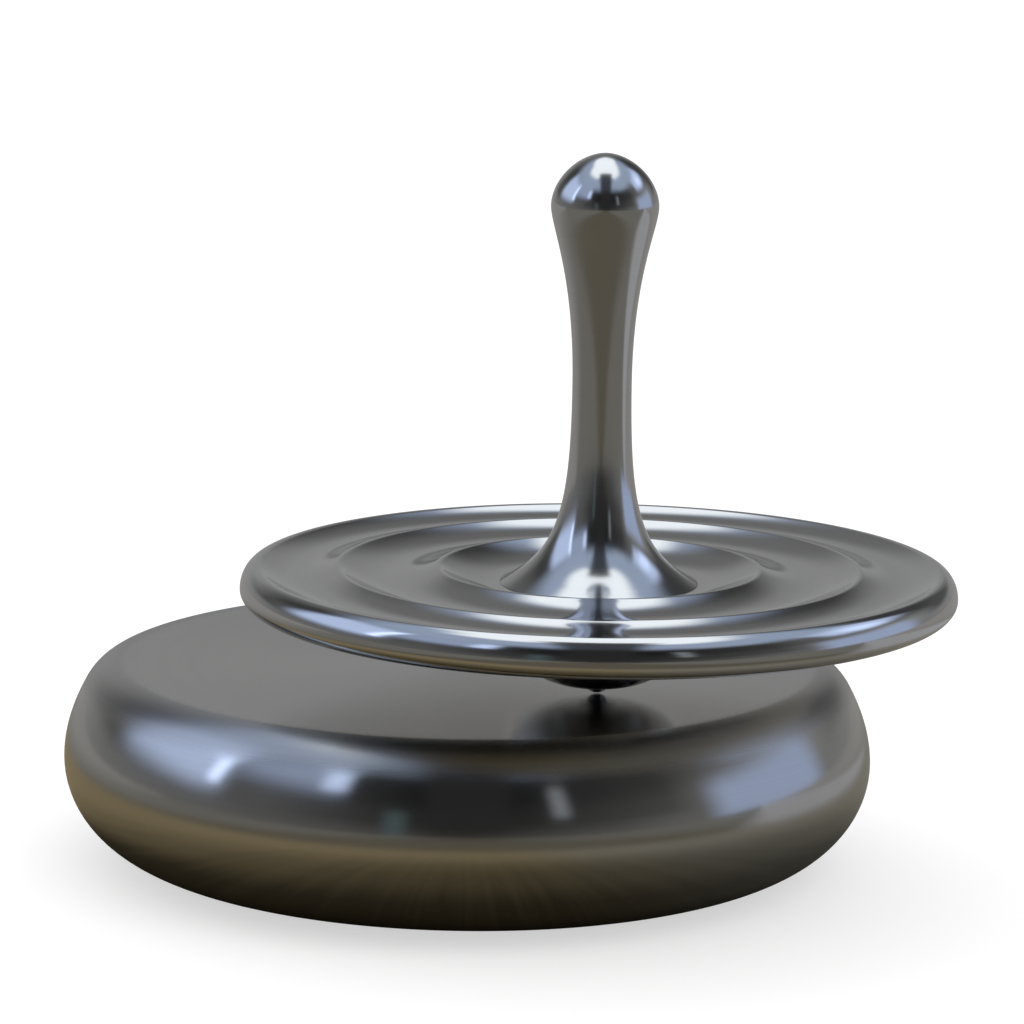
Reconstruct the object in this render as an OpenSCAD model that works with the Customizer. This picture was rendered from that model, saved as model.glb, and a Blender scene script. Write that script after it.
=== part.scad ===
// Spinning top with a drop-shaped handle and a rippled disc, standing on a rounded, dished base.
// Z is the base's axis and the base's pad stands on z = 0. The top stands upright on the dish,
// a little to the right and to the front of the middle. All sizes are in millimetres.

/* [Base] */
// Diameter at which the dish would meet the shoulder, were its edge sharp
dish_d = 53.2; // [44:0.2:60]
// How far the belt, the widest line, stands out beyond the dish's edge
belt_out = 2.4; // [1.5:0.1:10]
// Height of the belt above the table
belt_h = 7.7; // [6:0.1:9]
// Height of the dish's edge above the table
dish_h = 14.5; // [13.5:0.1:20]
// Depth of the dish at its middle
dish_depth = 0.2; // [0.1:0.05:0.8]
// How far above the belt the shoulder's slope at the dish's edge would meet the belt's upright line
shoulder_rise = 2.4; // [1:0.1:4]
// How far the dish's edge is rounded off
edge_round = 2; // [0.5:0.1:2.5]
// Diameter of the flat underside
heel_d = 42; // [38.5:0.5:48]

/* [Inside the base] */
// Thickness of metal under the middle of the dish
roof_t = 3.2; // [1.5:0.1:5]
// Width of the ledge that the closing plate seats on
ledge_w = 2; // [1:0.1:3]
// Diameter of the hole through the ballast slug
ballast_hole_d = 8; // [4:0.5:12]
// Diameter of the closing plate
plate_d = 36; // [33:0.5:41]
// Thickness of the closing plate
plate_t = 2.5; // [2.2:0.1:3.2]
// Diameter of the foot pad
pad_d = 30; // [27:0.5:32]
// Thickness of the foot pad
pad_t = 1.2; // [0.8:0.1:1.3]
// How far the pad stands out below the underside
pad_out = 0.5; // [0.3:0.1:0.7]
// Number of plate screws
screw_count = 3; // [2:1:6]
// Diameter of the circle that the plate screws lie on
screw_pcd = 20; // [17:0.5:22]
// Thread diameter of the plate screws
screw_d = 2.5; // [2:0.1:3]
// Head diameter of the plate screws
screw_head_d = 4.7; // [3.8:0.1:5.2]
// Length of the plate screws, with their heads
screw_l = 6; // [5:0.5:8]
// Width across flats of the plate screws' sockets
screw_socket_w = 1.5; // [1.2:0.1:2]
// Depth of the plate screws' sockets
screw_socket_l = 0.9; // [0.6:0.1:1.2]
// Spare depth of the screws' holes in the ballast slug
drill_spare = 0.9; // [0.2:0.1:1.5]

/* [Where the top stands] */
// Distance of the tip to the right of the base's axis
stand_x = 9; // [-10:0.5:10]
// Distance of the tip behind the base's axis
stand_y = -9.5; // [-13:0.5:13]

/* [Disc] */
// Diameter of the disc
disc_d = 50; // [44:0.5:60]
// Height of the disc's flat underside above the tip
under_h = 6.1; // [5.4:0.1:8]
// Thickness of the disc under the handle's spigot
web_t = 0.95; // [0.5:0.05:1.5]
// Height of the crests and of the rim's crease above the handle's foot
crest_rise = 1.2; // [0.8:0.05:2]
// Drop from the rim's crease to the widest line
rim_drop = 1.7; // [0.8:0.05:2.2]
// How far the rim's crease lies inside the widest line
rim_round = 1.3; // [0.3:0.1:2]
// How far the flat underside ends inside the widest line
rim_tuck = 1.8; // [0.5:0.1:6]
// Diameter of the outer ripple's crest
outer_crest_d = 36.4; // [32:0.1:40]
// Diameter of the inner ripple's crest
inner_crest_d = 22.4; // [19:0.1:26]
// Depth of the groove between the outer crest and the rim
outer_groove = 0.7; // [0.2:0.05:1]
// Depth of the groove between the two crests
middle_groove = 0.9; // [0.2:0.05:1.2]
// Sag of the groove between the handle's foot and the inner crest
inner_groove = 0.3; // [0.1:0.05:0.45]

/* [Handle] */
// Height of the handle's top above the tip
handle_h = 37.9; // [35:0.1:46]
// Diameter of the knob
knob_d = 7.46; // [5.5:0.02:10]
// Drop from the handle's top to the knob's widest line
knob_drop = 3.65; // [2.5:0.05:8]
// Diameter of the neck
neck_d = 4.12; // [3.6:0.02:5.2]
// Height of the neck's slimmest line above the tip
neck_h = 21.9; // [18:0.1:26]
// Diameter of the handle's foot
foot_d = 13.9; // [12.5:0.1:16]
// Diameter of the spigot under the foot
spigot_d = 10; // [6:0.1:11]
// Length of the spigot under the foot
spigot_l = 0.7; // [0.3:0.1:1]

/* [Nose and tip] */
// Diameter of the nose at the disc
nose_d = 14; // [11:0.1:24]
// Diameter of the nose where its end is rounded off
nose_end_d = 3; // [2.7:0.1:3.6]
// Diameter of the tip's ball
ball_d = 2; // [1.6:0.1:2.4]
// How far the ball stands out of the nose
ball_out = 0.5; // [0.3:0.05:0.6]
// Thread diameter of the stud
stud_d = 3; // [2.5:0.1:3.2]
// Length of the stud
stud_l = 10; // [8:0.1:10.5]
// Width across flats of the stud's socket
stud_socket_w = 1.5; // [1.2:0.1:1.6]
// Depth of the stud's socket
stud_socket_l = 1.6; // [1:0.1:3]
// Outside diameter of the spring washer
washer_d = 6.2; // [5:0.1:9]
// Thickness of the spring washer
washer_t = 0.6; // [0.4:0.1:1.2]
// Width of the split in the spring washer
washer_split = 0.5; // [0.2:0.1:1]

/* [Fits] */
// Gap between the ball and the dish it runs on
run_gap = 0.05; // [0.03:0.01:0.1]
// Gap round the ball and the stud
turn_gap = 0.05; // [0.03:0.01:0.1]
// Gap round pieces that are set in place and stay there
set_gap = 0.1; // [0.05:0.01:0.15]
// Edge break on turned pieces
edge_break = 0.15; // [0.05:0.05:0.25]

/* [Hidden] */
$fn = 96;
hex_sides = 6;
curve_steps = 18;
eps = 0.01;

// Shape of the handle's curves: how round the knob's top is, and how far each tangent reaches.
knob_roundness = 1.82;
knob_reach = 0.125;
neck_reach_up = 0.625;
neck_reach_down = 0.68;
foot_reach = 0.79;
foot_slope = 0.53;

dish_r = dish_d / 2;
base_r = dish_r + belt_out;
heel_r = heel_d / 2;
dish_ball_r = (pow(dish_r, 2) + pow(dish_depth, 2)) / (2 * dish_depth);
dish_centre_h = dish_h - dish_depth + dish_ball_r;
roof_h = dish_h - dish_depth - roof_t;
ledge_h = pad_out + plate_t;
ballast_r = plate_d / 2 - ledge_w;

ball_r = ball_d / 2;
ball_centre_h = dish_centre_h
    - sqrt(pow(dish_ball_r - ball_r - run_gap, 2) - pow(stand_x, 2) - pow(stand_y, 2));
tip_h = ball_centre_h - ball_r;
seat_r = ball_r + turn_gap;
stud_r = stud_d / 2;
stud_bore_r = stud_r + turn_gap;
stud_h = ball_d + turn_gap;
stud_bore_h = stud_h - turn_gap / 2;
stud_top_h = stud_h + stud_l;
spigot_h = under_h + web_t + set_gap;
foot_h = spigot_h + spigot_l;
crest_h = foot_h + crest_rise;
rim_h = crest_h - rim_drop;
knob_h = handle_h - knob_drop;
washer_h = under_h - washer_t;

// Points of an ellipse's quarter about a centre, from one angle to another.
function ellipse_arc(centre, half_w, half_h, from, to) = [
    for (i = [0 : curve_steps])
        let (a = from + (to - from) * i / curve_steps)
        centre + [half_w * cos(a), half_h * sin(a)]
];

// Points of a hollow from one point to another, with the given sag below the straight line.
function hollow(p, q, sag) = [
    for (i = [0 : curve_steps])
        let (t = i / curve_steps, drop = 4 * sag * t * (1 - t))
        p + (q - p) * t - [0, drop]
];

// Points of a bow from a to c, whose tangents at both ends meet in b.
function bow(a, b, c) = [
    for (i = [0 : curve_steps])
        let (t = i / curve_steps, s = 1 - t)
        pow(s, 2) * a + 2 * s * t * b + pow(t, 2) * c
];

// Points of a smooth curve from a to d, leaving towards b and arriving from c.
function bezier(a, b, c, d) = [
    for (i = [0 : curve_steps])
        let (t = i / curve_steps, s = 1 - t)
        pow(s, 3) * a + 3 * pow(s, 2) * t * b + 3 * s * pow(t, 2) * c + pow(t, 3) * d
];

// The same list without its first point, for curves that follow on from each other.
function rest(points) = [for (i = [1 : len(points) - 1]) points[i]];

module at_tip() {
    translate([stand_x, stand_y, tip_h]) children();
}

module on_screw_circle() {
    for (i = [0 : screw_count - 1])
        rotate(90 + i * 360 / screw_count) translate([screw_pcd / 2, 0, 0]) children();
}

// A plain bar with an edge break at both ends, standing on its own foot.
module turned_bar(radius, length) {
    rotate_extrude() polygon([
        [0, 0],
        [radius - edge_break, 0],
        [radius, edge_break],
        [radius, length - edge_break],
        [radius - edge_break, length],
        [0, length]
    ]);
}

module hex_socket(width, depth) {
    cylinder(d = width / cos(180 / hex_sides), h = depth, $fn = hex_sides);
}

module base_shell() {
    belt = [base_r, belt_h];
    lean = [base_r, belt_h + shoulder_rise];
    dish_edge = [dish_r, dish_h];
    shoulder = dish_edge + edge_round * (lean - dish_edge) / norm(lean - dish_edge);
    dish_angle = asin((dish_r - edge_round) / dish_ball_r);
    dish = ellipse_arc([0, dish_centre_h], dish_ball_r, dish_ball_r, dish_angle - 90, -90);
    outline = concat(
        [[0, pad_out]],
        ellipse_arc([heel_r, belt_h], base_r - heel_r, belt_h - pad_out, -90, 0),
        rest(bow(belt, lean, shoulder)),
        rest(bow(shoulder, dish_edge, dish[0])),
        rest(dish)
    );
    color("#8e8b85") difference() {
        rotate_extrude() polygon(outline);
        translate([0, 0, pad_out - eps]) cylinder(r = plate_d / 2 + set_gap, h = plate_t + eps);
        translate([0, 0, ledge_h - eps]) cylinder(r = ballast_r + set_gap, h = roof_h - ledge_h + eps);
    }
}

module ballast_slug() {
    slug_h = ledge_h + set_gap;
    color("#5c5f63") difference() {
        translate([0, 0, slug_h]) turned_bar(ballast_r, roof_h - slug_h);
        translate([0, 0, slug_h - eps]) cylinder(d = ballast_hole_d, h = roof_h - slug_h + 2 * eps);
        on_screw_circle() translate([0, 0, slug_h - eps])
            cylinder(r = screw_d / 2 + turn_gap, h = pad_t + set_gap + screw_l + drill_spare - slug_h);
    }
}

module base_plate() {
    head_l = (screw_head_d - screw_d) / 2;
    color("#77797c") difference() {
        translate([0, 0, pad_out]) turned_bar(plate_d / 2, plate_t);
        translate([0, 0, pad_out - eps]) cylinder(r = pad_d / 2 + set_gap, h = pad_t - pad_out + eps);
        on_screw_circle() {
            translate([0, 0, pad_t - eps]) cylinder(r = screw_d / 2 + set_gap, h = plate_t + eps);
            translate([0, 0, pad_t - eps]) cylinder(r = screw_head_d / 2 + set_gap, h = set_gap + eps);
            translate([0, 0, pad_t + set_gap - eps])
                cylinder(r1 = screw_head_d / 2 + set_gap, r2 = screw_d / 2 + set_gap, h = head_l + eps);
        }
    }
}

module plate_screws() {
    head_l = (screw_head_d - screw_d) / 2;
    color("#3f4144") on_screw_circle() translate([0, 0, pad_t + set_gap]) difference() {
        rotate_extrude() polygon([
            [0, 0],
            [screw_head_d / 2, 0],
            [screw_d / 2, head_l],
            [screw_d / 2, screw_l - edge_break],
            [screw_d / 2 - edge_break, screw_l],
            [0, screw_l]
        ]);
        translate([0, 0, -eps]) hex_socket(screw_socket_w, screw_socket_l + eps);
    }
}

module foot_pad() {
    color("#2b2b2c") turned_bar(pad_d / 2, pad_t);
}

module ripple_disc() {
    foot = [foot_d / 2, foot_h];
    inner_crest = [inner_crest_d / 2, crest_h];
    outer_crest = [outer_crest_d / 2, crest_h];
    rim_r = disc_d / 2;
    crease = [rim_r - rim_round, crest_h];
    under_r = rim_r - rim_tuck;
    outline = concat(
        [[0, under_h]],
        ellipse_arc([under_r, rim_h], rim_tuck, rim_h - under_h, -90, 0),
        rest(ellipse_arc([crease.x, rim_h], rim_round, rim_drop, 0, 90)),
        rest(hollow(crease, outer_crest, outer_groove)),
        rest(hollow(outer_crest, inner_crest, middle_groove)),
        rest(hollow(inner_crest, foot, inner_groove)),
        [[0, foot_h]]
    );
    color("#9b9ca0") at_tip() difference() {
        rotate_extrude() polygon(outline);
        translate([0, 0, spigot_h - set_gap])
            cylinder(r = spigot_d / 2 + set_gap, h = spigot_l + set_gap + eps);
        translate([0, 0, under_h - eps]) cylinder(r = stud_bore_r, h = foot_h - under_h);
    }
}

module drop_handle() {
    knob_r = knob_d / 2;
    neck_r = neck_d / 2;
    foot_r = foot_d / 2;
    dome_h = handle_h - knob_h;
    knob_fall = knob_h - neck_h;
    flare_fall = neck_h - foot_h;
    flare_w = foot_reach * (foot_r - neck_r);
    dome = [
        for (i = [0 : curve_steps])
            let (a = 90 * i / curve_steps)
            [knob_r * pow(sin(a), 2 / knob_roundness), knob_h + dome_h * pow(cos(a), 2 / knob_roundness)]
    ];
    neck = bezier(
        [knob_r, knob_h],
        [knob_r, knob_h - knob_reach * knob_fall],
        [neck_r, neck_h + neck_reach_up * knob_fall],
        [neck_r, neck_h]
    );
    flare = bezier(
        [neck_r, neck_h],
        [neck_r, neck_h - neck_reach_down * flare_fall],
        [foot_r - flare_w, foot_h + foot_slope * flare_w],
        [foot_r, foot_h]
    );
    spigot = [
        [spigot_d / 2, foot_h],
        [spigot_d / 2, spigot_h],
        [0, spigot_h]
    ];
    color("#a3a4a8") at_tip() difference() {
        rotate_extrude() polygon(concat(dome, rest(neck), rest(flare), spigot));
        translate([0, 0, spigot_h - eps])
            cylinder(r = stud_bore_r, h = stud_top_h + turn_gap - spigot_h + eps);
    }
}

module handle_stud() {
    color("#4d5054") at_tip() translate([0, 0, stud_h]) difference() {
        turned_bar(stud_r, stud_l);
        translate([0, 0, stud_l - stud_socket_l]) hex_socket(stud_socket_w, stud_socket_l + eps);
    }
}

module spring_washer() {
    color("#6d7074") at_tip() translate([0, 0, washer_h]) difference() {
        cylinder(d = washer_d, h = washer_t);
        translate([0, 0, -eps]) cylinder(r = stud_bore_r + set_gap, h = washer_t + 2 * eps);
        translate([0, -washer_split / 2, -eps]) cube([washer_d, washer_split, washer_t + 2 * eps]);
    }
}

module nose_cone() {
    nose_r = nose_d / 2;
    end_r = nose_end_d / 2;
    outline = concat(
        [[0, ball_out], [end_r - 2 * edge_break, ball_out]],
        ellipse_arc([end_r, under_h], nose_r - end_r, under_h - ball_out - edge_break, -90, 0),
        [[0, under_h]]
    );
    color("#8f9094") at_tip() difference() {
        rotate_extrude() polygon(outline);
        translate([0, 0, ball_r]) sphere(r = seat_r);
        translate([0, 0, ball_r]) cylinder(r = seat_r, h = stud_h - ball_r);
        translate([0, 0, stud_bore_h]) cylinder(r = stud_bore_r, h = under_h - stud_bore_h + eps);
        translate([0, 0, washer_h]) cylinder(r = washer_d / 2 + set_gap, h = washer_t + eps);
    }
}

module tip_ball() {
    color("#d9d6cf") at_tip() translate([0, 0, ball_r]) sphere(r = ball_r);
}

base_shell();
ballast_slug();
base_plate();
plate_screws();
foot_pad();
ripple_disc();
drop_handle();
handle_stud();
spring_washer();
nose_cone();
tip_ball();
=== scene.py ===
"""Looks of a metal spinning top on its dished base: turned pieces, steel finishes and a plain studio.

The file is laid out as an add-on. Sizes are in metres and in the frame of the CAD model: the base's
axis is Z, the base stands on z = 0, and the top stands upright on the dish, to the front and the right.
"""

import math

import bpy
from mathutils import Matrix, Vector


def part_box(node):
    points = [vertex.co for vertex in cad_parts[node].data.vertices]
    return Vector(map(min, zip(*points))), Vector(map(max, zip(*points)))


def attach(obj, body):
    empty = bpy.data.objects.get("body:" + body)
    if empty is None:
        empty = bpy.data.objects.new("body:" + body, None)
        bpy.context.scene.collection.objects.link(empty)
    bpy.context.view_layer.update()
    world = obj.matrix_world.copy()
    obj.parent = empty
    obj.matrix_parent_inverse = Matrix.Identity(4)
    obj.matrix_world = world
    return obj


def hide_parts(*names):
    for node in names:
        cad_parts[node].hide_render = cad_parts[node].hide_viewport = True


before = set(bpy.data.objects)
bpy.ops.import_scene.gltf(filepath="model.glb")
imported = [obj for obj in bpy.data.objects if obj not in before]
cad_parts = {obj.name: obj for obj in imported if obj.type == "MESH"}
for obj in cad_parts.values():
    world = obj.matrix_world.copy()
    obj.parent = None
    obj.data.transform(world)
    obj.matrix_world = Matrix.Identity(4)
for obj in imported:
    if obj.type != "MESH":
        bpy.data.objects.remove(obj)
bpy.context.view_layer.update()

bl_info = {
    "name": "Spinning top on its base",
    "version": (1, 0, 0),
    "blender": (4, 5, 0),
    "location": "3D View > Sidebar > Spinning top",
    "description": "Turns the pieces of a spinning top and its base, finishes them and sets up the studio",
    "category": "Add Mesh",
}

MM = 0.001

# How finely outlines are drawn and spun, and how close two points are before they are welded.
CURVE_STEPS = 40
EASE_STEPS = 8
TURN_STEPS = 256
BALL_TURN_STEPS = 96
WELD = 0.0005 * MM
SMOOTH_ANGLE = math.radians(32)

# Places that the frame gives: the axis of the top, and the heights of its tip and its pieces.
ball_low, ball_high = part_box("tip_ball")
TOP_AXIS = ((ball_low.x + ball_high.x) / 2, (ball_low.y + ball_high.y) / 2)
BASE_AXIS = (0.0, 0.0)
TIP_H = ball_low.z
BALL_R = (ball_high.z - ball_low.z) / 2


def length(name, description, default):
    """A size that a user may change."""
    return bpy.props.FloatProperty(
        name=name, description=description, default=default, min=0.0, unit="LENGTH", precision=5)


def share(name, description, default):
    """A number between nothing and all."""
    return bpy.props.FloatProperty(
        name=name, description=description, default=default, min=0.0, max=1.0, subtype="FACTOR")


def colour(name, description, default):
    """A colour that a user may change."""
    return bpy.props.FloatVectorProperty(
        name=name, description=description, default=default, size=3, min=0.0, max=1.0, subtype="COLOR")


class BaseSizes(bpy.types.PropertyGroup):
    """Sizes of the base that its box doesn't give"""
    dish_r: length("Dish radius", "Radius at which the dish would meet the shoulder", 26.6 * MM)
    dish_h: length("Dish height", "Height at which the dish would meet the shoulder", 14.5 * MM)
    dish_depth: length("Dish depth", "Depth of the dish at its middle", 0.2 * MM)
    edge_in: length("Edge inwards", "How far in from its edge the dish turns down", 2.0 * MM)
    edge_down: length("Edge down", "How far down the shoulder the dish's edge is rounded off", 2.0 * MM)
    belt_h: length("Belt height", "Height of the base's widest line", 7.7 * MM)
    shoulder_rise: length("Shoulder rise", "How far above the belt the shoulder's tangents meet", 2.4 * MM)
    heel_r: length("Heel radius", "Radius of the flat underside", 21 * MM)
    fit: length("Fit", "Gap round the plate and the ballast", 0.1 * MM)
    edge: length("Edge break", "How far small edges are broken", 0.2 * MM)


class DiscSizes(bpy.types.PropertyGroup):
    """Sizes of the rippled disc that its box doesn't give"""
    rim_drop: length("Rim drop", "Drop from the rim's crease to the widest line", 1.7 * MM)
    rim_round: length("Rim round", "How far the crease lies inside the widest line", 1.3 * MM)
    rim_tuck: length("Rim tuck", "How far the underside ends inside the widest line", 1.8 * MM)
    outer_crest_r: length("Outer crest", "Radius of the outer ripple's crest", 18.2 * MM)
    inner_crest_r: length("Inner crest", "Radius of the inner ripple's crest", 11.2 * MM)
    outer_groove: length("Outer groove", "Depth of the groove inside the rim", 0.7 * MM)
    middle_groove: length("Middle groove", "Depth of the groove between the crests", 0.9 * MM)
    inner_groove: length("Inner groove", "Sag of the groove round the handle", 0.3 * MM)
    crest_ease: length("Crest", "How far the crests are rounded off", 0.25 * MM)
    rim_ease: length("Rim crease", "How far the rim's crease is rounded off", 0.25 * MM)
    edge: length("Edge break", "How far small edges are broken", 0.08 * MM)


class HandleSizes(bpy.types.PropertyGroup):
    """Sizes of the drop-shaped handle that its box doesn't give"""
    knob_r: length("Knob radius", "Radius of the knob's widest line", 3.73 * MM)
    knob_drop: length("Knob drop", "Drop from the top to the knob's widest line", 3.65 * MM)
    neck_r: length("Neck radius", "Radius of the neck's slimmest line", 2.06 * MM)
    neck_h: length("Neck height", "Height of the neck's slimmest line above the tip", 21.9 * MM)
    spigot_r: length("Spigot radius", "Radius of the spigot under the foot", 5 * MM)
    spigot_l: length("Spigot length", "Length of the spigot under the foot", 0.7 * MM)
    edge: length("Edge break", "How far small edges are broken", 0.08 * MM)
    dome_power: bpy.props.FloatProperty(
        name="Dome power",
        description="Roundness of the knob's top, 2 for an ellipse",
        default=1.82,
        min=1.0)
    knob_reach: share("Knob reach", "How far the knob's tangent reaches down", 0.125)
    neck_reach_up: share("Neck reach up", "How far the neck's tangent reaches up", 0.625)
    neck_reach_down: share("Neck reach down", "How far the neck's tangent reaches down", 0.68)
    foot_reach: share("Foot reach", "How far the foot's tangent reaches in", 0.79)
    foot_slope: share("Foot slope", "Steepness of the flare at the foot", 0.53)


class NoseSizes(bpy.types.PropertyGroup):
    """Sizes of the nose and of what it holds"""
    end_r: length("End radius", "Radius at which the nose's end is rounded off", 1.5 * MM)
    end_edge: length("End edge", "Edge break at the nose's end", 0.15 * MM)
    ball_wear: length("Ball wear", "Radius of the spot that running has worn on the ball", 0.08 * MM)
    turn_gap: length("Turning gap", "Gap round the ball and the stud", 0.05 * MM)
    fit: length("Fit", "Gap round the spring washer", 0.1 * MM)


class Finishes(bpy.types.PropertyGroup):
    """Colours of the finishes"""
    satin_steel: colour("Satin steel", "The brushed base", (0.60, 0.59, 0.575))
    polished_steel: colour("Polished steel", "Disc, handle and nose", (0.66, 0.655, 0.65))
    ball_steel: colour("Ball steel", "The ball of the tip", (0.70, 0.70, 0.70))
    rubber: colour("Rubber", "The pad under the base", (0.022, 0.022, 0.023))
    iron: colour("Iron", "The ballast slug", (0.23, 0.225, 0.22))
    plate: colour("Plate", "The closing plate", (0.47, 0.47, 0.465))
    black: colour("Blackened steel", "Stud and screws", (0.045, 0.045, 0.048))
    blued: colour("Blued steel", "The spring washer", (0.10, 0.13, 0.20))


class StudioSettings(bpy.types.PropertyGroup):
    """Camera, floor and board"""
    distance: length("Distance", "Distance from the camera to the base's axis", 350 * MM)
    lens: bpy.props.FloatProperty(
        name="Lens", description="Focal length on a 36 mm sensor", default=170.2, min=1.0)
    floor: colour("Floor", "The pale floor", (0.55, 0.55, 0.55))
    board: colour("Board", "The warm board that only the steel mirrors", (0.27, 0.22, 0.13))


class Outline:
    """A lathe outline in (radius, height), drawn from one point to the next."""

    def __init__(self, radius, height):
        self.points = [Vector((radius, height))]
        self.corners = []

    def line(self, radius, height):
        self.points.append(Vector((radius, height)))
        return self

    def arc(self, centre, half_w, half_h, start, end):
        """A stretch of an ellipse between two angles in degrees."""
        for i in range(1, CURVE_STEPS + 1):
            a = math.radians(start + (end - start) * i / CURVE_STEPS)
            self.line(centre[0] + half_w * math.cos(a), centre[1] + half_h * math.sin(a))
        return self

    def bow(self, corner, end):
        """A simple curve whose tangents at both ends meet in a corner."""
        start, corner, end = self.points[-1], Vector(corner), Vector(end)
        for i in range(1, CURVE_STEPS + 1):
            t = i / CURVE_STEPS
            self.line(*((1 - t) ** 2 * start + 2 * t * (1 - t) * corner + t**2 * end))
        return self

    def curve(self, leave, arrive, end):
        """A smooth curve that leaves towards one point and arrives from another."""
        start, leave, arrive, end = self.points[-1], Vector(leave), Vector(arrive), Vector(end)
        for i in range(1, CURVE_STEPS + 1):
            t = i / CURVE_STEPS
            s = 1 - t
            self.line(*(s**3 * start + 3 * s**2 * t * leave + 3 * s * t**2 * arrive + t**3 * end))
        return self

    def hollow(self, radius, height, sag):
        """A groove that hangs below the straight line by the given sag."""
        start, end = self.points[-1], Vector((radius, height))
        for i in range(1, CURVE_STEPS + 1):
            t = i / CURVE_STEPS
            self.line(*(start.lerp(end, t) - Vector((0, 4 * sag * t * (1 - t)))))
        return self

    def ease(self, reach):
        """Marks the last point as a corner that is rounded off."""
        self.corners.append((len(self.points) - 1, reach))
        return self

    def finished(self):
        """The points, with each marked corner turned into a short curve."""
        points = list(self.points)
        for corner, reach in reversed(self.corners):
            tip = points[corner]
            before = after = corner
            while (points[before] - tip).length < reach:
                before -= 1
            while (points[after] - tip).length < reach:
                after += 1
            start = tip + (points[before] - tip).normalized() * reach
            end = tip + (points[after] - tip).normalized() * reach
            steps = [i / EASE_STEPS for i in range(EASE_STEPS + 1)]
            bend = [(1 - t) ** 2 * start + 2 * t * (1 - t) * tip + t**2 * end for t in steps]
            points[before + 1:after] = bend
        return points


def turn(name, outline, axis, steps=TURN_STEPS):
    """Draws an outline by extruding a plane's welded vertex, and spins it round an upright axis."""
    points = outline.finished()
    bpy.ops.object.select_all(action="DESELECT")
    bpy.ops.mesh.primitive_plane_add(size=MM)
    piece = bpy.context.object
    piece.name = piece.data.name = name
    bpy.ops.object.mode_set(mode="EDIT")
    bpy.ops.mesh.merge(type="CENTER")
    bpy.ops.transform.translate(value=(axis[0] + points[0].x, axis[1], points[0].y))
    for here, there in zip(points, points[1:]):
        step = there - here
        bpy.ops.mesh.extrude_vertices_move(TRANSFORM_OT_translate={"value": (step.x, 0, step.y)})
    bpy.ops.mesh.select_all(action="SELECT")
    bpy.ops.mesh.spin(steps=steps, angle=2 * math.pi, center=(*axis, 0), axis=(0, 0, 1))
    bpy.ops.mesh.select_all(action="SELECT")
    bpy.ops.mesh.remove_doubles(threshold=WELD)
    bpy.ops.mesh.normals_make_consistent(inside=False)
    bpy.ops.object.mode_set(mode="OBJECT")
    bpy.ops.object.shade_smooth_by_angle(angle=SMOOTH_ANGLE)
    return piece


def hand_over(piece, finish, body, node):
    """Gives a piece its finish and puts it in the place of its CAD node."""
    piece.data.materials.clear()
    piece.data.materials.append(finish)
    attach(piece, body)
    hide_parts(node)


class Value:
    """A shader socket that takes part in Python expressions."""

    def __init__(self, nodes, socket):
        self.nodes = nodes
        self.socket = socket

    def each(self):
        """All outputs of the same node, from the first to the last."""
        return [Value(self.nodes, socket) for socket in self.socket.node.outputs]

    def _math(self, operation, first, second):
        return self.nodes.add("ShaderNodeMath", {"operation": operation}, {0: first, 1: second})

    def __add__(self, other):
        return self._math("ADD", self, other)

    def __radd__(self, other):
        return self._math("ADD", other, self)

    def __sub__(self, other):
        return self._math("SUBTRACT", self, other)

    def __rsub__(self, other):
        return self._math("SUBTRACT", other, self)

    def __mul__(self, other):
        return self._math("MULTIPLY", self, other)

    def __rmul__(self, other):
        return self._math("MULTIPLY", other, self)

    def __truediv__(self, other):
        return self._math("DIVIDE", self, other)

    def __rtruediv__(self, other):
        return self._math("DIVIDE", other, self)

    def __pow__(self, other):
        return self._math("POWER", self, other)

    def __rpow__(self, other):
        return self._math("POWER", other, self)

    def __abs__(self):
        return self._math("ABSOLUTE", self, 0)


class Nodes:
    """A node tree that is built by expressions."""

    def __init__(self, tree):
        self.tree = tree

    def add(self, kind, settings=None, inputs=None, output=0):
        """Adds a node: its settings first, then the values or links of its sockets. Returns one output."""
        node = self.tree.nodes.new(kind)
        for name, value in (settings or {}).items():
            if name == "stops":
                self._set_stops(node.color_ramp, value)
            else:
                setattr(node, name, value)
        for name, value in (inputs or {}).items():
            self.feed(node.inputs[name], value)
        return Value(self, node.outputs[output])

    def feed(self, socket, value):
        """Links a socket to a value, or sets it."""
        if isinstance(value, Value):
            self.tree.links.new(value.socket, socket)
        else:
            socket.default_value = value

    def _set_stops(self, ramp, stops):
        while len(ramp.elements) < len(stops):
            ramp.elements.new(1.0)
        for element, (position, level) in zip(ramp.elements, stops):
            element.position = position
            element.color = (level, level, level, 1.0)

    def ramp(self, value, stops):
        """A number that follows another one from stop to stop."""
        return self.add("ShaderNodeValToRGB", {"stops": stops}, {0: value})

    def band(self, value, start, full):
        """0 before a band, 1 after it, and smooth between."""
        settings = {"interpolation_type": "SMOOTHSTEP"}
        return self.add("ShaderNodeMapRange", settings, {0: value, 1: start, 2: full})

    def mix(self, factor, first, second):
        """A blend of two colours, by the sockets that the node keeps for colours."""
        return self.add("ShaderNodeMix", {"data_type": "RGBA"}, {0: factor, 6: first, 7: second}, output=2)


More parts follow.
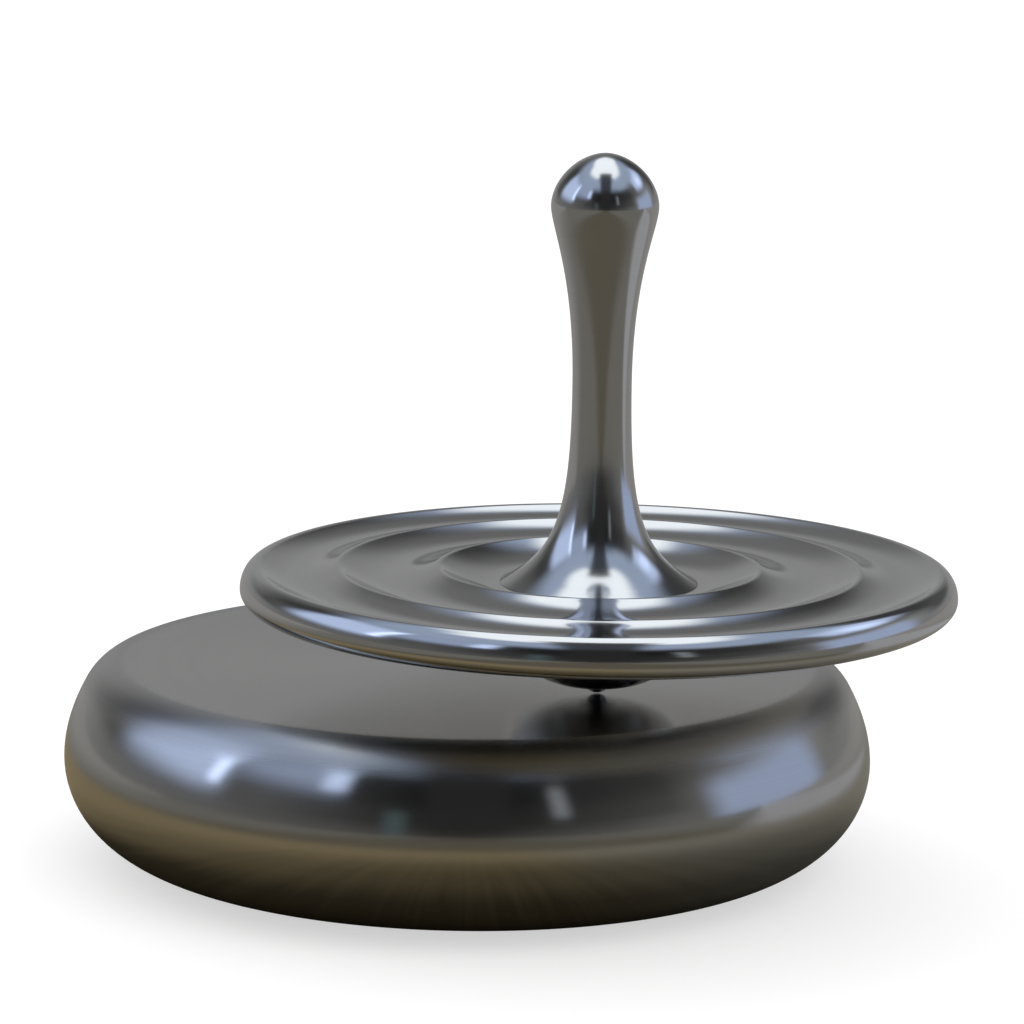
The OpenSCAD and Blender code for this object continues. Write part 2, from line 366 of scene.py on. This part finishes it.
class Finish(Nodes):
    """A material with one main shader."""

    def __init__(self, name, constants):
        self.material = bpy.data.materials.new(name)
        self.material.use_nodes = True
        super().__init__(self.material.node_tree)
        self.shader = self.tree.nodes["Principled BSDF"]
        for socket, value in constants.items():
            self.shader.inputs[socket].default_value = value

    def set(self, name, value):
        self.feed(self.shader.inputs[name], value)

    def place(self, axis):
        """Object coordinates about a piece's own axis, the distance from that axis, and the height."""
        where = self.add("ShaderNodeTexCoord", output="Object")
        moved = self.add("ShaderNodeMapping", {}, {"Vector": where, "Location": (-axis[0], -axis[1], 0)})
        x, y, z = self.add("ShaderNodeSeparateXYZ", {}, {0: moved}).each()
        return moved, (x * x + y * y) ** 0.5, z

    def noise(self, place, pitch, detail=2.0, roughness=0.5):
        """Noise with features of about the given pitch."""
        settings = {"noise_dimensions": "3D"}
        inputs = {"Vector": place, "Scale": 1 / pitch, "Detail": detail, "Roughness": roughness}
        return self.add("ShaderNodeTexNoise", settings, inputs)

    def rings(self, radius, height, pitch, detail=3.0):
        """Tool marks that run round the axis: noise that only the radius and the height change."""
        return self.noise(self.add("ShaderNodeCombineXYZ", {}, {0: radius, 1: height}), pitch, detail)

    def bump(self, height, depth, strength=1.0):
        inputs = {"Strength": strength, "Distance": depth, "Height": height}
        self.set("Normal", self.add("ShaderNodeBump", {}, inputs))


def shade(tint, factor):
    """A colour made lighter or darker, for a colour socket."""
    return (*(min(1.0, channel * factor) for channel in tint), 1.0)


# Roughness of the base's flank, what its satin dish and its worn edge add, and where those two lie.
FLANK_GLOSS = 0.08
DISH_SATIN = 0.06
DISH_RADII = (26 * MM, 24.5 * MM)
DISH_HEIGHTS = (13.5 * MM, 14 * MM)
EDGE_WEAR = 0.2
EDGE_RADII = (24.2 * MM, 25.4 * MM)
EDGE_HEIGHTS = (12 * MM, 13.2 * MM)
# Roughness of the polished pieces, and the depth of the marks left by turning and polishing.
DISC_GLOSS = 0.07
HANDLE_GLOSS = 0.1
NOSE_GLOSS = 0.14
POLISHED_DEPTH = 0.0003 * MM
# Tool marks run round the axis, so the highlights stretch across them.
ACROSS_MARKS = 0.25


def satin_finish(tint):
    """Turned steel: a polished flank, a satin dish and a worn edge, with faint clouds and fine scuffs."""
    constants = {"Metallic": 1.0, "Anisotropic": 0.8, "Anisotropic Rotation": ACROSS_MARKS}
    finish = Finish("satin_steel", constants)
    place, radius, height = finish.place(BASE_AXIS)
    fine = finish.rings(radius, height, 0.22 * MM)
    broad = finish.rings(radius, height, 1.6 * MM)
    clouds = finish.noise(place, 11 * MM, detail=4.0, roughness=0.6)
    scuffs = finish.band(finish.noise(place, 0.9 * MM, detail=5.0, roughness=0.7), 0.62, 0.74)
    tone = finish.mix(fine * 0.35 + broad * 0.3 + clouds * 0.35, shade(tint, 0.88), shade(tint, 1.1))
    finish.set("Base Color", tone)
    dish = finish.band(radius, *DISH_RADII) * finish.band(height, *DISH_HEIGHTS)
    edge = finish.band(radius, *EDGE_RADII) * finish.band(height, *EDGE_HEIGHTS)
    worn = FLANK_GLOSS + dish * DISH_SATIN + edge * EDGE_WEAR
    finish.set("Roughness", worn + fine * 0.02 + clouds * 0.05 + scuffs * 0.02)
    finish.bump(fine * 0.7 + broad * 0.3, POLISHED_DEPTH)
    return finish.material


def polished_finish(name, tint, gloss):
    """Turned and polished steel: sharp reflections over faint tool marks."""
    finish = Finish(name, {"Metallic": 1.0, "Anisotropic": 0.35, "Anisotropic Rotation": ACROSS_MARKS})
    place, radius, height = finish.place(TOP_AXIS)
    fine = finish.rings(radius, height, 0.18 * MM)
    broad = finish.rings(radius, height, 1.1 * MM)
    smears = finish.noise(place, 6 * MM, detail=3.0, roughness=0.55)
    tone = finish.mix(fine * 0.4 + broad * 0.3 + smears * 0.3, shade(tint, 0.92), shade(tint, 1.07))
    finish.set("Base Color", tone)
    finish.set("Roughness", gloss + fine * 0.03 + smears * 0.05)
    finish.bump(fine * 0.6 + broad * 0.4, POLISHED_DEPTH)
    return finish.material


def ball_finish(tint):
    """Hardened and polished steel with a worn spot where it runs."""
    finish = Finish("ball_steel", {"Metallic": 1.0})
    place, _, height = finish.place(TOP_AXIS)
    worn = 1 - finish.band(height, TIP_H, TIP_H + 0.25 * BALL_R)
    marks = finish.noise(place, 0.1 * MM, detail=3.0)
    finish.set("Base Color", finish.mix(marks, shade(tint, 0.9), shade(tint, 1.08)))
    finish.set("Roughness", 0.07 + marks * 0.05 + worn * 0.2)
    return finish.material


def rubber_finish(tint):
    """Matt moulded rubber with a fine grain and a little dust."""
    finish = Finish("pad_rubber", {"Specular IOR Level": 0.35})
    place = finish.place(BASE_AXIS)[0]
    grain = finish.noise(place, 0.25 * MM, detail=3.0)
    dust = finish.band(finish.noise(place, 2.5 * MM, detail=5.0, roughness=0.65), 0.5, 0.8)
    finish.set("Base Color", finish.mix(grain * 0.5 + dust * 0.5, shade(tint, 0.8), shade(tint, 2.4)))
    finish.set("Roughness", 0.72 + grain * 0.12 + dust * 0.1)
    finish.bump(grain, 0.02 * MM, 0.5)
    return finish.material


def iron_finish(tint):
    """Turned cast iron: open grain and coarse tool marks."""
    finish = Finish("ballast_iron", {"Metallic": 1.0})
    place, radius, height = finish.place(BASE_AXIS)
    grain = finish.noise(place, 0.6 * MM, detail=5.0, roughness=0.65)
    marks = finish.rings(radius, height, 0.5 * MM)
    finish.set("Base Color", finish.mix(grain, shade(tint, 0.75), shade(tint, 1.25)))
    finish.set("Roughness", 0.42 + grain * 0.16)
    finish.bump(marks * 0.6 + grain * 0.4, 0.01 * MM)
    return finish.material


def plate_finish(tint):
    """Plate steel, faced on a lathe and left bare."""
    finish = Finish("plate_steel", {"Metallic": 1.0})
    place, radius, height = finish.place(BASE_AXIS)
    marks = finish.rings(radius, height, 0.3 * MM)
    clouds = finish.noise(place, 5 * MM, detail=4.0)
    finish.set("Base Color", finish.mix(marks * 0.5 + clouds * 0.5, shade(tint, 0.85), shade(tint, 1.1)))
    finish.set("Roughness", 0.28 + marks * 0.1 + clouds * 0.08)
    finish.bump(marks, 0.004 * MM)
    return finish.material


def black_finish(tint):
    """Blackened steel, worn brighter in places."""
    finish = Finish("screw_steel", {"Metallic": 1.0})
    place = finish.place(BASE_AXIS)[0]
    wear = finish.band(finish.noise(place, 1.2 * MM, detail=5.0, roughness=0.65), 0.52, 0.75)
    finish.set("Base Color", finish.mix(wear, shade(tint, 1.0), shade(tint, 3.0)))
    finish.set("Roughness", 0.45 - wear * 0.12)
    return finish.material


STRAW = (0.30, 0.22, 0.12, 1.0)


def blued_finish(tint):
    """Spring steel, tempered blue with a straw cast."""
    finish = Finish("spring_steel", {"Metallic": 1.0})
    place = finish.place(TOP_AXIS)[0]
    temper = finish.noise(place, 2.5 * MM, detail=2.0)
    finish.set("Base Color", finish.mix(finish.band(temper, 0.45, 0.75), shade(tint, 1.0), STRAW))
    finish.set("Roughness", 0.25 + temper * 0.1)
    return finish.material


class SPINTOP_OT_base_shell(bpy.types.Operator):
    """Turn the rounded base with its dish above and its pocket below"""
    bl_idname = "spintop.base_shell"
    bl_label = "Base shell"

    def execute(self, context):
        sizes = context.scene.spintop_base
        low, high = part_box("base_shell")
        base_r, underside = high.x, low.z
        plate_r, ledge_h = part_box("base_plate")[1].xz
        slug_r, roof_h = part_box("ballast_slug")[1].xz
        mirror_r = (sizes.dish_r**2 + sizes.dish_depth**2) / (2 * sizes.dish_depth)
        mirror_h = sizes.dish_h - sizes.dish_depth + mirror_r
        lean = Vector((base_r, sizes.belt_h + sizes.shoulder_rise))
        edge = Vector((sizes.dish_r, sizes.dish_h))
        shoulder = edge + (lean - edge).normalized() * sizes.edge_down
        flat_r = sizes.dish_r - sizes.edge_in
        flat_angle = math.asin(flat_r / mirror_r)
        outline = Outline(0, roof_h)
        outline.line(slug_r + sizes.fit, roof_h)
        outline.line(slug_r + sizes.fit, ledge_h)
        outline.line(plate_r + sizes.fit, ledge_h)
        outline.line(plate_r + sizes.fit, underside).ease(sizes.edge)
        outline.line(sizes.heel_r, underside)
        outline.arc((sizes.heel_r, sizes.belt_h), base_r - sizes.heel_r, sizes.belt_h - underside, -90, 0)
        outline.bow(lean, shoulder)
        outline.bow(edge, (flat_r, mirror_h - mirror_r * math.cos(flat_angle)))
        outline.arc((0, mirror_h), mirror_r, mirror_r, math.degrees(flat_angle) - 90, -90)
        piece = turn("turned_base", outline, BASE_AXIS)
        finish = satin_finish(context.scene.spintop_finishes.satin_steel)
        hand_over(piece, finish, "base", "base_shell")
        return {"FINISHED"}


class SPINTOP_OT_foot_pad(bpy.types.Operator):
    """Turn the rubber pad that the base stands on"""
    bl_idname = "spintop.foot_pad"
    bl_label = "Foot pad"

    def execute(self, context):
        edge = context.scene.spintop_base.edge
        low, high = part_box("foot_pad")
        outline = Outline(0, low.z)
        outline.line(high.x, low.z).ease(edge)
        outline.line(high.x, high.z).ease(edge)
        outline.line(0, high.z)
        piece = turn("rubber_pad", outline, BASE_AXIS)
        finish = rubber_finish(context.scene.spintop_finishes.rubber)
        hand_over(piece, finish, "base", "foot_pad")
        return {"FINISHED"}


class SPINTOP_OT_ripple_disc(bpy.types.Operator):
    """Turn the disc with its ripples, its rim and the seat of the handle's spigot"""
    bl_idname = "spintop.ripple_disc"
    bl_label = "Rippled disc"

    def execute(self, context):
        sizes = context.scene.spintop_disc
        handle = context.scene.spintop_handle
        nose = context.scene.spintop_nose
        low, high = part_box("ripple_disc")
        rim_r, under_h, crest_h = high.x - TOP_AXIS[0], low.z, high.z
        handle_low, handle_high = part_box("drop_handle")
        foot_r, spigot_h = handle_high.x - TOP_AXIS[0], handle_low.z
        foot_h = spigot_h + handle.spigot_l
        bore_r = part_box("handle_stud")[1].x - TOP_AXIS[0] + nose.turn_gap
        seat_r = handle.spigot_r + nose.fit
        rim_h = crest_h - sizes.rim_drop
        crease_r = rim_r - sizes.rim_round
        under_r = rim_r - sizes.rim_tuck
        outline = Outline(bore_r, under_h)
        outline.line(under_r, under_h)
        outline.arc((under_r, rim_h), sizes.rim_tuck, rim_h - under_h, -90, 0)
        outline.arc((crease_r, rim_h), sizes.rim_round, sizes.rim_drop, 0, 90).ease(sizes.rim_ease)
        outline.hollow(sizes.outer_crest_r, crest_h, sizes.outer_groove).ease(sizes.crest_ease)
        outline.hollow(sizes.inner_crest_r, crest_h, sizes.middle_groove).ease(sizes.crest_ease)
        outline.hollow(foot_r, foot_h, sizes.inner_groove).ease(sizes.edge)
        outline.line(seat_r, foot_h)
        outline.line(seat_r, spigot_h - nose.fit)
        outline.line(bore_r, spigot_h - nose.fit)
        outline.line(bore_r, under_h)
        piece = turn("rippled_disc", outline, TOP_AXIS)
        steel = context.scene.spintop_finishes.polished_steel
        finish = polished_finish("disc_steel", steel, DISC_GLOSS)
        hand_over(piece, finish, "top", "ripple_disc")
        return {"FINISHED"}


class SPINTOP_OT_drop_handle(bpy.types.Operator):
    """Turn the handle: a drop-shaped knob, a slim neck and a flared foot"""
    bl_idname = "spintop.drop_handle"
    bl_label = "Drop-shaped handle"

    def execute(self, context):
        sizes = context.scene.spintop_handle
        gap = context.scene.spintop_nose.turn_gap
        low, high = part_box("drop_handle")
        foot_r, spigot_h, top_h = high.x - TOP_AXIS[0], low.z, high.z
        foot_h = spigot_h + sizes.spigot_l
        knob_h = top_h - sizes.knob_drop
        neck_h = TIP_H + sizes.neck_h
        stud_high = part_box("handle_stud")[1]
        bore_r, bore_h = stud_high.x - TOP_AXIS[0] + gap, stud_high.z + gap
        knob_fall = knob_h - neck_h
        flare_fall = neck_h - foot_h
        flare_w = sizes.foot_reach * (foot_r - sizes.neck_r)
        power = 2 / sizes.dome_power
        outline = Outline(0, top_h)
        for i in range(1, CURVE_STEPS + 1):
            a = math.pi / 2 * i / CURVE_STEPS
            rise = max(0.0, math.cos(a)) ** power
            outline.line(sizes.knob_r * math.sin(a) ** power, knob_h + sizes.knob_drop * rise)
        outline.curve(
            (sizes.knob_r, knob_h - sizes.knob_reach * knob_fall),
            (sizes.neck_r, neck_h + sizes.neck_reach_up * knob_fall),
            (sizes.neck_r, neck_h))
        outline.curve(
            (sizes.neck_r, neck_h - sizes.neck_reach_down * flare_fall),
            (foot_r - flare_w, foot_h + sizes.foot_slope * flare_w),
            (foot_r, foot_h)).ease(sizes.edge)
        outline.line(sizes.spigot_r, foot_h)
        outline.line(sizes.spigot_r, spigot_h)
        outline.line(bore_r, spigot_h)
        outline.line(bore_r, bore_h)
        outline.line(0, bore_h)
        piece = turn("drop_grip", outline, TOP_AXIS)
        steel = context.scene.spintop_finishes.polished_steel
        finish = polished_finish("handle_steel", steel, HANDLE_GLOSS)
        hand_over(piece, finish, "top", "drop_handle")
        return {"FINISHED"}


class SPINTOP_OT_nose_cone(bpy.types.Operator):
    """Turn the rounded nose with the ball's seat, the stud's bore and the washer's recess"""
    bl_idname = "spintop.nose_cone"
    bl_label = "Nose"

    def execute(self, context):
        sizes = context.scene.spintop_nose
        low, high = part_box("nose_cone")
        nose_r, under_h, end_h = high.x - TOP_AXIS[0], high.z, low.z
        washer_low, washer_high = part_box("spring_washer")
        recess_r, recess_h = (washer_high.y - washer_low.y) / 2 + sizes.fit, washer_low.z
        stud_low, stud_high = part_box("handle_stud")
        bore_r, bore_h = stud_high.x - TOP_AXIS[0] + sizes.turn_gap, stud_low.z - sizes.turn_gap / 2
        seat_r = BALL_R + sizes.turn_gap
        ball_h = TIP_H + BALL_R
        seat_angle = math.degrees(math.asin((end_h - ball_h) / seat_r))
        mouth_r = seat_r * math.cos(math.radians(seat_angle))
        foot_h = end_h + sizes.end_edge
        outline = Outline(mouth_r, end_h)
        outline.line(sizes.end_r - 2 * sizes.end_edge, end_h)
        outline.line(sizes.end_r, foot_h)
        outline.arc((sizes.end_r, under_h), nose_r - sizes.end_r, under_h - foot_h, -90, 0)
        outline.line(recess_r, under_h)
        outline.line(recess_r, recess_h)
        outline.line(bore_r, recess_h)
        outline.line(bore_r, bore_h)
        outline.line(seat_r, bore_h)
        outline.line(seat_r, ball_h)
        outline.arc((0, ball_h), seat_r, seat_r, 0, seat_angle)
        piece = turn("rounded_nose", outline, TOP_AXIS)
        steel = context.scene.spintop_finishes.polished_steel
        finish = polished_finish("nose_steel", steel, NOSE_GLOSS)
        hand_over(piece, finish, "top", "nose_cone")
        return {"FINISHED"}


class SPINTOP_OT_tip_ball(bpy.types.Operator):
    """Turn the ball of the tip, with the small spot that running has worn on it"""
    bl_idname = "spintop.tip_ball"
    bl_label = "Tip ball"

    def execute(self, context):
        wear = context.scene.spintop_nose.ball_wear
        centre_h = TIP_H + BALL_R
        wear_angle = -math.degrees(math.acos(wear / BALL_R))
        outline = Outline(0, centre_h + BALL_R * math.sin(math.radians(wear_angle)))
        outline.line(wear, outline.points[0].y)
        outline.arc((0, centre_h), BALL_R, BALL_R, wear_angle, 90)
        piece = turn("running_ball", outline, TOP_AXIS, BALL_TURN_STEPS)
        finish = ball_finish(context.scene.spintop_finishes.ball_steel)
        hand_over(piece, finish, "ball", "tip_ball")
        return {"FINISHED"}


class SPINTOP_OT_inner_pieces(bpy.types.Operator):
    """Give the ballast, the plate, the screws, the stud and the washer their finishes"""
    bl_idname = "spintop.inner_pieces"
    bl_label = "Inner pieces"

    def execute(self, context):
        tints = context.scene.spintop_finishes
        black = black_finish(tints.black)
        finishes = {
            "ballast_slug": iron_finish(tints.iron),
            "base_plate": plate_finish(tints.plate),
            "plate_screws": black,
            "handle_stud": black,
            "spring_washer": blued_finish(tints.blued),
        }
        for node, finish in finishes.items():
            for material_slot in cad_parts[node].material_slots:
                material_slot.material = finish
        return {"FINISHED"}


# The studio. Directions and elevations are in degrees: direction 0 is the camera's and grows to the right.
FULL_TURN = 360
OVERHEAD = 90
CAMERA_ELEVATION = 13.41
CAMERA_AIM_H = 7.8 * MM
CAMERA_PAN = 0.5
CAMERA_TILT = -10.58
CAMERA_ROLL = 0.8
SENSOR_W = 36.0
FLOOR_SIZE = 8.0
FLOOR_GLOW = 0.58
SKY = (1.0, 1.0, 1.0, 1.0)
BLACK = (0.0, 0.0, 0.0, 1.0)
DAY_BLUE = (0.82, 1.0, 1.42)
COOL_WHITE = (0.92, 1.0, 1.08)
SEA_GREEN = (0.75, 1.05, 1.1)

# The board that only the steel mirrors: its grain, the painted shadow of the disc and the painted shade by
# the base's contact on it, the distances over which its parts pass into each other, their tones, among
# them painted shaded and lit tones, and the pale sheet at its right.
BOARD_LIFT = 0.02 * MM
GRAIN_PITCH = 1.5 * MM
GRAIN_STRETCH = 0.03
SHADOW_AXIS = (2 * MM, -8 * MM)
SHADOW_RADII = (46 * MM, 24 * MM)
SHADOW_DEPTH = 0.6
CONTACT_RADII = (27 * MM, 33 * MM)
FAR_RADII = (50 * MM, 75 * MM)
SIDE_PASSAGE = (50 * MM, 100 * MM)
BACK_PASSAGE = (-40 * MM, 120 * MM)
RIGHT_PASSAGE = (5 * MM, 30 * MM)
FRONT_TONE = (0.125, 0.114, 0.088, 1.0)
SIDE_TONE = (0.18, 0.178, 0.160, 1.0)
BACK_TONE = (0.30, 0.295, 0.285, 1.0)
RIGHT_SHADED_TONE = (0.10, 0.096, 0.078, 1.0)
RIGHT_LIT_TONE = (0.26, 0.248, 0.205, 1.0)
SHEET_EDGE = (45 * MM, 65 * MM)
SHEET_MIDDLE = 15 * MM
SHEET_HALF = (50 * MM, 30 * MM)
SHEET_TONE = (0.38, 0.385, 0.40, 1.0)

# The room that only the steel mirrors: brightness of its walls by direction, near the floor and higher up,
# the elevations between which one passes into the other, and how the walls fade further up.
LOW_WALL_STOPS = (
    (-180, 0.33),
    (-160, 0.30),
    (-145, 0.26),
    (-125, 0.20),
    (-90, 0.16),
    (-60, 0.12),
    (-35, 0.09),
    (-15, 0.045),
    (15, 0.045),
    (40, 0.09),
    (60, 0.15),
    (125, 0.24),
    (150, 0.26),
    (180, 0.33),
)
WALL_STOPS = (
    (-180, 0.31),
    (-165, 0.30),
    (-152, 0.20),
    (-138, 0.09),
    (-110, 0.12),
    (-60, 0.11),
    (-38, 0.06),
    (-18, 0.028),
    (18, 0.028),
    (40, 0.055),
    (60, 0.085),
    (78, 0.22),
    (110, 0.34),
    (126, 0.25),
    (141, 0.09),
    (158, 0.09),
    (170, 0.26),
    (180, 0.31),
)
WALL_PASSAGE = (4, 12)
WALL_FADE = (16, 30)
WALL_FADED = 0.4
WALL_WHITE = (0.99, 1.0, 1.01, 1.0)
# Soft rectangles of light: direction and elevation of the middle, half width and height, edge,
# tint and strength.
WINDOWS = {
    "left wall": (-58, 38, 15, 9, 10, DAY_BLUE, 0.45),
    "left window": (-99, 31, 19, 15, 10, DAY_BLUE, 0.75),
    "left bright pane": (-79, 32, 1.5, 14, 3, DAY_BLUE, 1.7),
    "left skylight": (-62, 54, 22, 7, 9, DAY_BLUE, 0.45),
    "left lamp": (-41, 36, 3, 7, 4, DAY_BLUE, 1.0),
    "left doorway": (-20, 9, 2, 9, 4, SEA_GREEN, 0.11),
    "right wall": (96, 6, 20, 13, 8, DAY_BLUE, 0.50),
    "right window": (112, 42, 22, 8, 8, DAY_BLUE, 0.80),
    "right bright pane": (112, 40, 8, 6, 8, DAY_BLUE, 1.15),
    "right skylight": (52, 58, 14, 7, 10, COOL_WHITE, 0.55),
    "right lamp": (27, 24.5, 1.6, 9, 3, COOL_WHITE, 0.28),
}
# The bright ceiling: the elevation of its edge by direction, how soft the edge is, its light,
# and the elevations over which a bluish halo rises below it.
CEILING_EDGE = (
    (-180, 47),
    (-166, 50),
    (-150, 60),
    (-135, 66),
    (-95, 67),
    (-50, 70),
    (-30, 76),
    (0, 80),
    (30, 76),
    (50, 70),
    (110, 69),
    (130, 67),
    (150, 62),
    (166, 50),
    (180, 47),
)
CEILING_SOFTNESS = (-5, 4)
CEILING_LIGHT = (1.26, 1.35, 1.43, 1.0)
HALO_RISE = (38, 56)
HALO_LIGHT = (0.38, 0.47, 0.64, 1.0)
# The dark flag above the camera, in parts of the unit sphere: half width, end overhead, strength and tone.
FLAG_WIDTH = (0.24, 0.12)
FLAG_END = (-0.03, -0.13)
FLAG_STRENGTH = 0.92
FLAG_DARK = (0.028, 0.028, 0.029, 1.0)


def board_finish(tint):
    """A wooden board, seen in the steel alone: warm by the base, greyer further off, pale to the right,
    with painted shade by the base and a painted shadow of the disc.
    """
    finish = Finish("board_finish", {"Roughness": 0.9, "Specular IOR Level": 0.0})
    place, radius, _ = finish.place(BASE_AXIS)
    shadow_radius = finish.place(SHADOW_AXIS)[1]
    x, y, _ = finish.add("ShaderNodeSeparateXYZ", {}, {0: place}).each()
    long_grain = finish.add("ShaderNodeCombineXYZ", {}, {0: x, 1: y * GRAIN_STRETCH})
    grain = finish.noise(long_grain, GRAIN_PITCH, detail=3.0, roughness=0.6)
    # Painted shadow of the disc and painted shade along the base's contact, blended between painted shaded
    # and lit tones.
    shadow = finish.band(shadow_radius, *SHADOW_RADII)
    contact = finish.band(radius, *CONTACT_RADII)
    far = finish.mix(finish.band(abs(x), *SIDE_PASSAGE), FRONT_TONE, SIDE_TONE)
    far = finish.mix(finish.band(y, *BACK_PASSAGE), far, BACK_TONE)
    right = finish.band(x, *RIGHT_PASSAGE)
    shaded = finish.mix(right, shade(tint, 0.2), RIGHT_SHADED_TONE)
    lit = finish.mix(right, shade(tint, 1.05), RIGHT_LIT_TONE)
    near = finish.mix(grain * 0.3 - 0.15 + contact * (0.85 - shadow * SHADOW_DEPTH), shaded, lit)
    board = finish.mix(finish.band(radius, *FAR_RADII), near, far)
    sheet = finish.band(x, *SHEET_EDGE) * finish.band(abs(y - SHEET_MIDDLE), *SHEET_HALF)
    finish.set("Base Color", finish.mix(sheet, board, SHEET_TONE))
    return finish.material


def floor_finish(tint):
    """A pale floor with a faint glow, so that the shadow by the base stays light."""
    finish = Finish("floor_finish", {"Roughness": 0.9, "Specular IOR Level": 0.0})
    finish.set("Base Color", (*tint, 1.0))
    finish.set("Emission Color", SKY)
    finish.set("Emission Strength", FLOOR_GLOW)
    return finish.material


def towards(direction, elevation):
    """The unit vector of a direction in the room."""
    a, e = math.radians(direction), math.radians(elevation)
    return Vector((math.sin(a) * math.cos(e), -math.cos(a) * math.cos(e), math.sin(e)))


class SPINTOP_OT_studio(bpy.types.Operator):
    """Lay the pale floor, light the room and set up the camera"""
    bl_idname = "spintop.studio"
    bl_label = "Studio"

    def execute(self, context):
        settings = context.scene.spintop_studio
        context.scene.view_settings.view_transform = "Standard"
        floor = self.lay("floor", 0.0, floor_finish(settings.floor))
        floor.visible_glossy = False
        board = self.lay("board", BOARD_LIFT, board_finish(settings.board))
        board.visible_camera = board.visible_diffuse = board.visible_shadow = False
        self.light_room(context.scene)
        self.set_camera(context.scene, settings)
        return {"FINISHED"}

    def lay(self, name, height, finish):
        """A wide level sheet under the object."""
        bpy.ops.object.select_all(action="DESELECT")
        bpy.ops.mesh.primitive_plane_add(size=FLOOR_SIZE, location=(0, 0, height))
        sheet = bpy.context.object
        sheet.name = name
        sheet.data.materials.append(finish)
        return sheet

    def light_room(self, scene):
        """An even sky for the floor and, for the steel, a dim room with windows and a bright ceiling."""
        scene.world = bpy.data.worlds.new("studio_room")
        scene.world.use_nodes = True
        scene.world.cycles.sampling_method = "NONE"
        nodes = Nodes(scene.world.node_tree)
        way = nodes.add("ShaderNodeTexCoord", output="Generated")
        x, y, z = nodes.add("ShaderNodeSeparateXYZ", {}, {0: way}).each()
        turned = nodes.add("ShaderNodeMath", {"operation": "ARCTAN2"}, {0: x, 1: 0 - y})
        raised = nodes.add("ShaderNodeMath", {"operation": "ARCSINE"}, {0: z})
        direction = turned * math.degrees(1)
        elevation = raised * math.degrees(1)
        around = direction / FULL_TURN + 0.5
        low, high, edge = (
            nodes.ramp(around, [(angle / FULL_TURN + 0.5, value / full) for angle, value in stops])
            for stops, full in ((LOW_WALL_STOPS, 1), (WALL_STOPS, 1), (CEILING_EDGE, OVERHEAD)))
        level = nodes.mix(nodes.band(elevation, *WALL_PASSAGE), low, high)
        level = level * (1 - nodes.band(elevation, *WALL_FADE) * WALL_FADED)
        room = nodes.mix(level, BLACK, WALL_WHITE)
        for middle, height, half_w, half_h, soft, tint, strength in WINDOWS.values():
            across = nodes.band(abs(direction - middle), half_w + soft, half_w - soft / 2)
            upright = nodes.band(abs(elevation - height), half_h + soft, half_h - soft / 2)
            room = nodes.mix(across * upright, room, (*(strength * channel for channel in tint), 1.0))
        above = elevation - edge * OVERHEAD
        room = nodes.mix(nodes.band(elevation, *HALO_RISE), room, HALO_LIGHT)
        room = nodes.mix(nodes.band(above, *CEILING_SOFTNESS), room, CEILING_LIGHT)
        flag = nodes.band(abs(x), *FLAG_WIDTH) * nodes.band(y, *FLAG_END) * FLAG_STRENGTH
        room = nodes.mix(flag, room, FLAG_DARK)
        in_steel = nodes.add("ShaderNodeLightPath", output="Is Glossy Ray")
        background = nodes.tree.nodes["Background"]
        nodes.feed(background.inputs["Color"], nodes.mix(in_steel, SKY, room))

    def set_camera(self, scene, settings):
        """A long lens at the photograph's viewing angle."""
        pan, tilt, roll = (math.radians(a) for a in (CAMERA_PAN, CAMERA_TILT, CAMERA_ROLL))
        place = towards(0, CAMERA_ELEVATION) * settings.distance + Vector((0, 0, CAMERA_AIM_H))
        forward = Vector((math.sin(pan) * math.cos(tilt), math.cos(pan) * math.cos(tilt), math.sin(tilt)))
        level = forward.cross(Vector((0, 0, 1))).normalized()
        upright = level.cross(forward)
        right = level * math.cos(roll) + upright * math.sin(roll)
        up = upright * math.cos(roll) - level * math.sin(roll)
        bpy.ops.object.camera_add(location=place)
        camera = bpy.context.object
        camera.rotation_euler = Matrix((right, up, -forward)).transposed().to_euler()
        camera.data.lens = settings.lens
        camera.data.sensor_width = SENSOR_W
        scene.camera = camera


class SPINTOP_PT_panel(bpy.types.Panel):
    """Buttons for each piece and for the studio"""
    bl_idname = "SPINTOP_PT_panel"
    bl_label = "Spinning top"
    bl_space_type = "VIEW_3D"
    bl_region_type = "UI"
    bl_category = "Spinning top"

    def draw(self, context):
        for operator in OPERATORS:
            self.layout.operator(operator.bl_idname)
        for group in GROUPS:
            settings = getattr(context.scene, group)
            box = self.layout.box()
            for name in settings.__annotations__:
                box.prop(settings, name)


GROUPS = {
    "spintop_base": BaseSizes,
    "spintop_disc": DiscSizes,
    "spintop_handle": HandleSizes,
    "spintop_nose": NoseSizes,
    "spintop_finishes": Finishes,
    "spintop_studio": StudioSettings,
}
OPERATORS = (
    SPINTOP_OT_base_shell,
    SPINTOP_OT_foot_pad,
    SPINTOP_OT_ripple_disc,
    SPINTOP_OT_drop_handle,
    SPINTOP_OT_nose_cone,
    SPINTOP_OT_tip_ball,
    SPINTOP_OT_inner_pieces,
    SPINTOP_OT_studio,
)
CLASSES = (*GROUPS.values(), *OPERATORS, SPINTOP_PT_panel)


def register():
    for cls in CLASSES:
        bpy.utils.register_class(cls)
    for name, group in GROUPS.items():
        setattr(bpy.types.Scene, name, bpy.props.PointerProperty(type=group))


def unregister():
    for name in GROUPS:
        delattr(bpy.types.Scene, name)
    for cls in reversed(CLASSES):
        bpy.utils.unregister_class(cls)


def main():
    register()
    bpy.ops.spintop.base_shell()
    bpy.ops.spintop.foot_pad()
    bpy.ops.spintop.ripple_disc()
    bpy.ops.spintop.drop_handle()
    bpy.ops.spintop.nose_cone()
    bpy.ops.spintop.tip_ball()
    bpy.ops.spintop.inner_pieces()
    bpy.ops.spintop.studio()


if __name__ == "__main__":
    main()
